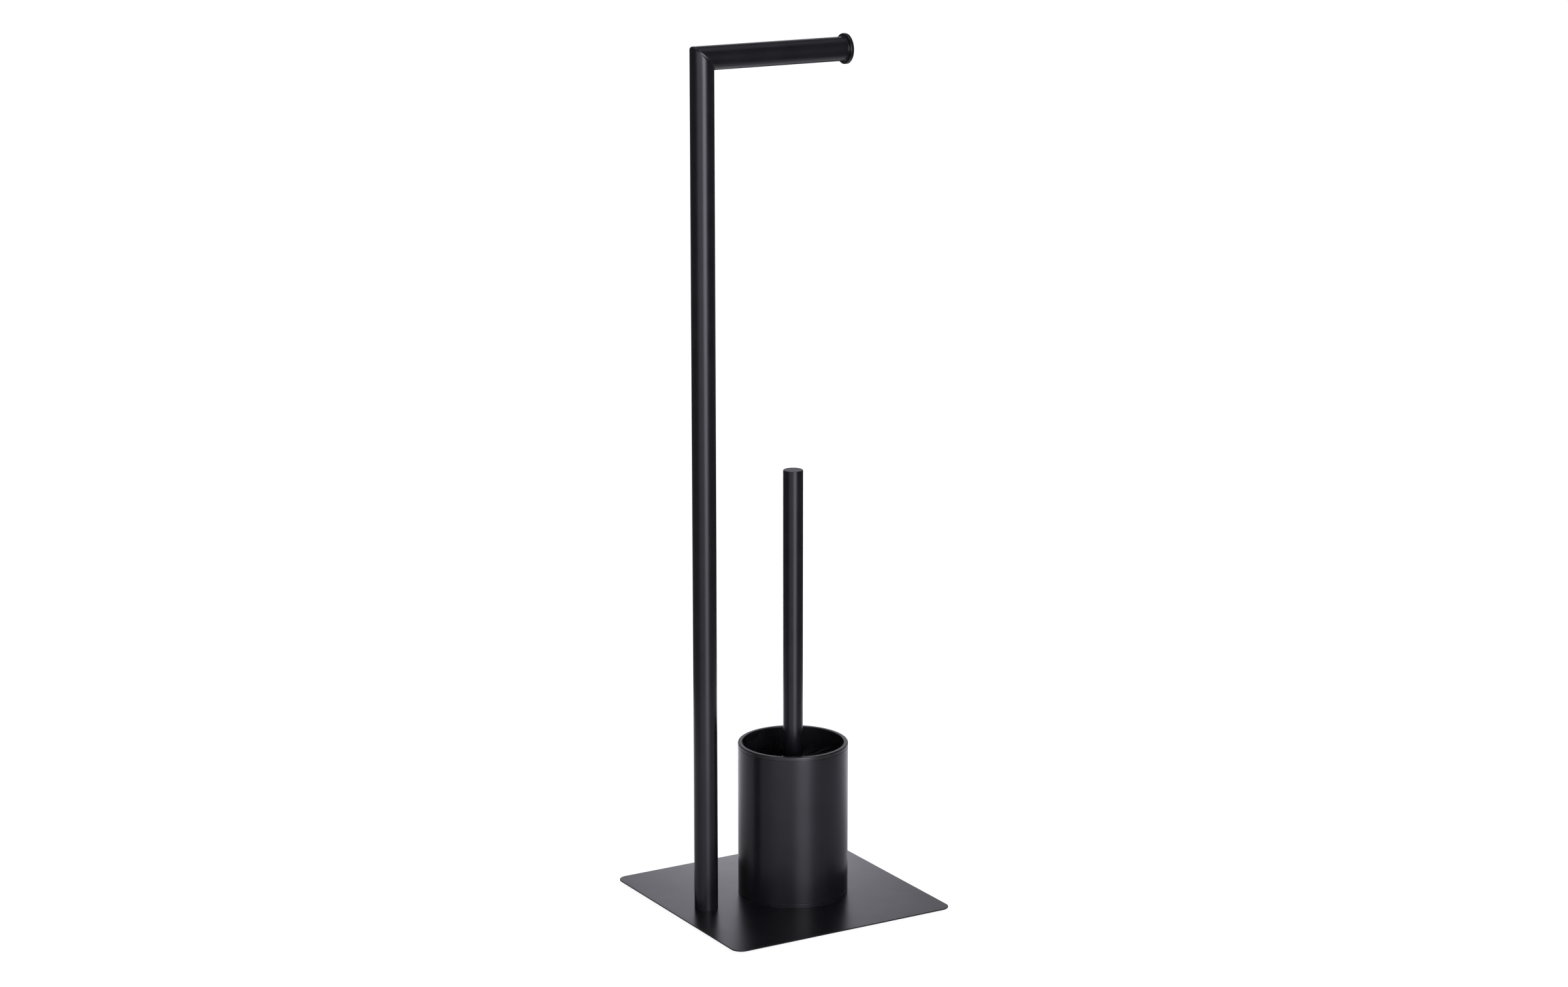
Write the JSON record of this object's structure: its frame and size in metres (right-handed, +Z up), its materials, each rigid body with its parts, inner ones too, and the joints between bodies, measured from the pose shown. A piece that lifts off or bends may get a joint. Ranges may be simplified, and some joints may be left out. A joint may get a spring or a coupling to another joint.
{
  "type": "toilet brush holder",
  "caption": "Free-standing toilet brush holder: square plate, tall mitred pole with a roll arm, round cup with liner and a tube-handled brush.",
  "frame": {"origin": "on the floor under the middle of the square base plate", "axes": "+Z up, +X from the pole towards the cup and the free end of the arm, +Y to the back"},
  "size_m": [0.2, 0.2, 0.699],
  "materials": {
    "coated_steel": "satin black powder coat",
    "plain_steel": "zinc-plated steel",
    "rubber_pads": "matt rubber",
    "liner_plastic": "satin black moulded plastic",
    "brush_plastic": "black moulded plastic",
    "bristle_fibre": "black nylon filament"
  },
  "bodies": {
    "stand": {"base_plate": "coated_steel", "floor_pads": "rubber_pads", "pole_tube": "coated_steel", "pole_insert": "plain_steel", "pole_screw": "plain_steel", "arm_tube": "coated_steel", "arm_end_cap": "coated_steel", "cup_shell": "coated_steel", "cup_foot": "coated_steel", "cup_nut": "plain_steel", "cup_screw": "plain_steel"},
    "liner": {"cup_liner": "liner_plastic"},
    "brush": {"handle_tube": "coated_steel", "handle_cap": "coated_steel", "handle_insert": "plain_steel", "brush_stud": "plain_steel", "brush_core": "brush_plastic", "side_bristles": "bristle_fibre", "end_bristles": "bristle_fibre"}
  },
  "joints": [
    {"name": "liner_lift", "type": "slide", "parent": "stand", "child": "liner", "axis": [0, 0, 1], "range_m": [0, 0.135]},
    {"name": "brush_lift", "type": "slide", "parent": "liner", "child": "brush", "axis": [0, 0, 1], "range_m": [0, 0.15]}
  ]
}
